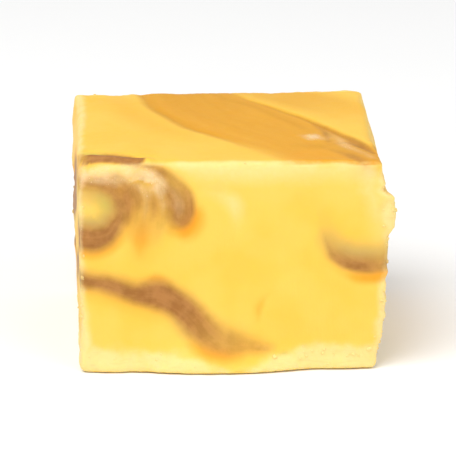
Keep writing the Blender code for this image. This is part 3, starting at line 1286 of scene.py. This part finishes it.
def fudge_finish(name, glow_depth):
    """Marbled fudge, coloured by its dyes, with some painted highlights and painted shade among its marks.
    Light goes this deep into it.
    """
    material, start, skin = new_finish(name)
    place = start.node("TexCoord", out=3)
    clouds = start.grain(place, 7.0 * MM, 2.0)
    mottles = start.grain(place, 1.6 * MM, 3.0)
    flecks = start.grain(place, 0.6 * MM, 4.0, 0.6)
    specks = start.grain(place, 0.22 * MM, 2.0, 0.5)
    rim = start.marked("rim")

    # The fudge was stretched along the swirl, so its colour varies in streaks that follow each line.
    flow = start.node("CombineXYZ", {}, {"X": start.marked("across"), "Y": start.marked("along") * 0.12})
    pulled = start.grain(flow, 0.8 * MM, 3.0, 0.6)

    warmth = clouds.rise(0.35, 0.68) * 0.8 + (1 - start.marked("cut")) * 0.5
    colour = warmth.cover(YELLOW, WARM_YELLOW)
    pale = (start.marked("pale") * (0.75 + 0.5 * flecks)).rise(0.0, 1.0)
    colour = pale.cover(colour, PALE_YELLOW)
    colour = (start.marked("tan") * (0.78 + 0.36 * pulled)).cover(colour, TAN)
    colour = start.marked("khaki").cover(colour, KHAKI)
    colour = (start.marked("olive") * 0.75).cover(colour, OLIVE)
    colour = (start.marked("ochre") * (0.75 + 0.4 * pulled)).cover(colour, OCHRE)
    colour = (start.marked("amber") * (0.75 + 0.4 * mottles)).rise(0.0, 0.95).cover(colour, AMBER)
    brown = start.marked("brown")
    patchy = mottles * 0.55 + pulled * 0.4 + flecks * 0.05
    browns = patchy.rise(0.38, 0.62).cover(BROWN, LIGHT_BROWN)
    colour = (brown * (1.12 - 0.24 * patchy)).rise(-0.05, 1.05).cover(colour, browns)
    sugary = start.marked("crystal") * (0.35 + 0.75 * pulled + 0.35 * flecks)
    colour = (sugary.rise(0.1, 1.0) * 0.85).cover(colour, SUGAR)
    # Paler rims: the crumbly edges' own paler colour, with a painted highlight along the edges.
    colour = ((rim * (0.5 + flecks)).rise(0.3, 1.1) * 0.55).cover(colour, PALE_YELLOW)
    level = start.node("VectorMath", {"operation": "MULTIPLY"}, {0: place, 1: (0.12, 0.12, 1.0)})
    scratches = start.grain(level, 0.22 * MM, 2.0, 0.5).rise(0.56, 0.68)
    colour = (scratches * rim * start.marked("cut") * 0.14).cover(colour, KHAKI)

    # Knife drag down the cuts, crumbly grain along the rims and a fine crystal grain everywhere.
    stretched = start.node("VectorMath", {"operation": "MULTIPLY"}, {0: place, 1: (1.0, 1.0, 0.06)})
    drag = start.grain(stretched, 0.35 * MM, 3.0, 0.6) * start.marked("cut")
    rough = 0.5 + 0.15 * rim + 0.12 * (flecks - 0.5)
    height = flecks * (0.25 + 1.3 * rim) + specks * 0.45 + drag * 0.5
    bump = start.node("Bump", {}, {"Height": height, "Strength": 0.5, "Distance": 0.06 * MM})
    colour.feed(skin, "Base Color")
    rough.feed(skin, "Roughness")
    bump.feed(skin, "Normal")
    skin.inputs["Specular IOR Level"].default_value = 0.22
    skin.inputs["Subsurface Weight"].default_value = 0.35 if glow_depth else 0.0
    skin.inputs["Subsurface Radius"].default_value = (1.0, 0.55, 0.18)
    skin.inputs["Subsurface Scale"].default_value = glow_depth
    return material


block.data.materials.clear()
block.data.materials.append(fudge_finish("marbled_fudge", 1.2 * MM))
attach(block, "root")
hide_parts("fudge_cube")

# Crumbs that the knife tore off and left clinging: small broken lumps of the same fudge, pressed into the
# edges and, here and there, the cuts. Most cling to the upright edges at the right, and none below the foot.
CRUMB_LEAST, CRUMB_MOST = 0.08 * MM, 0.20 * MM
CRUMB_COUNT = 200
CRUMB_BROKEN = 0.5
CRUMB_LIFT = 0.15
CRUMB_SEED = 11
EDGE_END = 1.5 * MM
LIKELY_AT_ENDS, LIKELY_AT_LEFT = 0.06, 0.35
DOWNWARD = -0.3
crumb_form = bmesh.new()
chance = random.Random(CRUMB_SEED)
shaped = [v.co.copy() for v in block.data.vertices]


def set_on(number, lift, stretch):
    """The place of a small lump on the block: standing along its facing there, spun at random."""
    upright = facings[number].to_track_quat("Z", "Y").to_matrix().to_4x4()
    spin = Matrix.Rotation(chance.uniform(0, math.tau), 4, "Z")
    spot = Matrix.Translation(shaped[number] + facings[number] * lift)
    return spot @ upright @ spin @ Matrix.Diagonal(stretch)


made = 0
while made < CRUMB_COUNT:
    number = chance.randrange(len(shaped))
    spot = shaped[number]
    on_upright_edge = EDGE_END < spot.z < poured_top - EDGE_END
    likely = rims[number] ** 2 * (1.0 if on_upright_edge else LIKELY_AT_ENDS)
    likely *= 1.0 if spot.x > centre.x else LIKELY_AT_LEFT
    size = CRUMB_LEAST + (CRUMB_MOST - CRUMB_LEAST) * chance.random() ** 2
    if facings[number].z < DOWNWARD or spot.z < size or chance.random() > likely:
        continue
    stretch = (chance.uniform(0.8, 1.5), 1.0, chance.uniform(0.5, 0.9), 1.0)
    place = set_on(number, size * CRUMB_LIFT, stretch)
    lump = bmesh.ops.create_icosphere(crumb_form, subdivisions=2, radius=size, matrix=place)["verts"]
    for v in lump:
        v.co += (v.co - spot) * CRUMB_BROKEN * noise.noise(v.co / (0.9 * size))
    made += 1
bmesh.ops.recalc_face_normals(crumb_form, faces=crumb_form.faces)
crumbs = new_piece(crumb_form, "clinging_crumbs")
nearest_place = kdtree.KDTree(len(places))
for number, p in enumerate(places):
    nearest_place.insert(p, number)
nearest_place.balance()


def pass_on_marks(piece):
    """Gives each place of a small piece the marks of the block beside it."""
    beside = [nearest_place.find(v.co)[1] for v in piece.data.vertices]
    for name, amounts in marks.items():
        here = [amounts[number] for number in beside]
        piece.data.attributes.new(name, "FLOAT", "POINT").data.foreach_set("value", here)


pass_on_marks(crumbs)
for name, least in (("pale", 0.6), ("rim", 1.0)):
    for place in crumbs.data.attributes[name].data:
        place.value = max(place.value, least)
crumbs.data.materials.append(fudge_finish("crumbled_fudge", 0.0))
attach(crumbs, "root")

# Sugar grains that stand out where the fudge crystallized: tiny blunt blocks, half sunk in the pale patches.
GRAIN_LEAST, GRAIN_MOST = 0.06 * MM, 0.10 * MM
GRAIN_COUNT = 150
GRAIN_SINK = -0.2
GRAIN_BLUNT = 0.25
GRAIN_PATCH = 0.42
grain_form = bmesh.new()
sugared = [number for number, amount in enumerate(swirl["crystal"]) if amount > GRAIN_PATCH]
for _ in range(GRAIN_COUNT):
    number = chance.choice(sugared)
    side = chance.uniform(GRAIN_LEAST, GRAIN_MOST)
    stretch = (1.0, chance.uniform(0.6, 1.0), chance.uniform(0.5, 1.0), 1.0)
    place = set_on(number, side * GRAIN_SINK, stretch)
    cube = bmesh.ops.create_cube(grain_form, size=side, matrix=place)["verts"]
    edges = list(dict.fromkeys(edge for v in cube for edge in v.link_edges))
    bmesh.ops.bevel(
        grain_form,
        geom=edges,
        offset=side * GRAIN_BLUNT,
        segments=1,
        profile=0.5,
        affect="EDGES",
        material=-1,
    )
grains = new_piece(grain_form, "sugar_grains")
sugar_finish, sweet, sweet_skin = new_finish("sugar_crystal")
cloudy = sweet.grain(sweet.node("TexCoord", out=3), 0.5 * MM, 3.0)
sweet_colour = cloudy.rise(0.35, 0.65).cover(CLEAR_SUGAR, CLOUDY_SUGAR)
sweet_rough = 0.22 + 0.25 * cloudy
sweet_colour.feed(sweet_skin, "Base Color")
sweet_rough.feed(sweet_skin, "Roughness")
grains.data.materials.append(sugar_finish)
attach(grains, "root")

# The stage: a pale table top that runs far past the camera's view, lit by a wide soft light at the front
# left, a weaker one at the right and a bright room all round.
TABLE_HALF = 900 * MM
WHITE_PAPER = (0.95, 0.95, 0.945, 1.0)
PALE_PAPER = (0.93, 0.93, 0.925, 1.0)
table_form = bmesh.new()
bmesh.ops.create_grid(table_form, x_segments=4, y_segments=4, size=TABLE_HALF)
table = new_piece(table_form, "table")
table_top, paper, paper_skin = new_finish("table_top")
mottle = paper.grain(paper.node("TexCoord", out=3), 60 * MM)
paper_colour = mottle.cover(WHITE_PAPER, PALE_PAPER)
paper_colour.feed(paper_skin, "Base Color")
paper_skin.inputs["Roughness"].default_value = 0.8
table.data.materials.append(table_top)


def soft_light(name, size, watts, place):
    """A round lamp that points at the block."""
    lamp = bpy.data.lights.new(name, "AREA")
    lamp.shape = "DISK"
    lamp.size = size
    lamp.energy = watts
    lit = bpy.data.objects.new(name, lamp)
    bpy.context.scene.collection.objects.link(lit)
    lit.location = place
    lit.rotation_mode = "QUATERNION"
    lit.rotation_quaternion = (middle - lit.location).to_track_quat("-Z", "Y")


soft_light("key", 500 * MM, 3.1, Vector((-220, -260, 520)) * MM)
soft_light("fill", 600 * MM, 1.4, Vector((420, -420, 300)) * MM)

ROOM_LIGHT = 0.54
room = bpy.data.worlds.new("room")
bpy.context.scene.world = room
room.use_nodes = True
room.node_tree.nodes["Background"].inputs["Color"].default_value = (1.0, 1.0, 1.0, 1.0)
room.node_tree.nodes["Background"].inputs["Strength"].default_value = ROOM_LIGHT
bpy.context.scene.view_settings.view_transform = "Standard"

CAMERA_TURN, CAMERA_RISE = math.radians(-2.32), math.radians(16.89)
CAMERA_AWAY = 350 * MM
CAMERA_LENS = 250
camera_lens = bpy.data.cameras.new("camera")
camera_lens.lens = CAMERA_LENS
camera_lens.clip_start, camera_lens.clip_end = 10 * MM, 10000 * MM
camera = bpy.data.objects.new("camera", camera_lens)
bpy.context.scene.collection.objects.link(camera)
back = Vector(
    (
        math.sin(CAMERA_TURN) * math.cos(CAMERA_RISE),
        -math.cos(CAMERA_TURN) * math.cos(CAMERA_RISE),
        math.sin(CAMERA_RISE),
    )
)
camera.location = centre + Vector((0, 0, middle.z)) + back * CAMERA_AWAY
camera.rotation_mode = "QUATERNION"
camera.rotation_quaternion = back.to_track_quat("Z", "Y")
bpy.context.scene.camera = camera
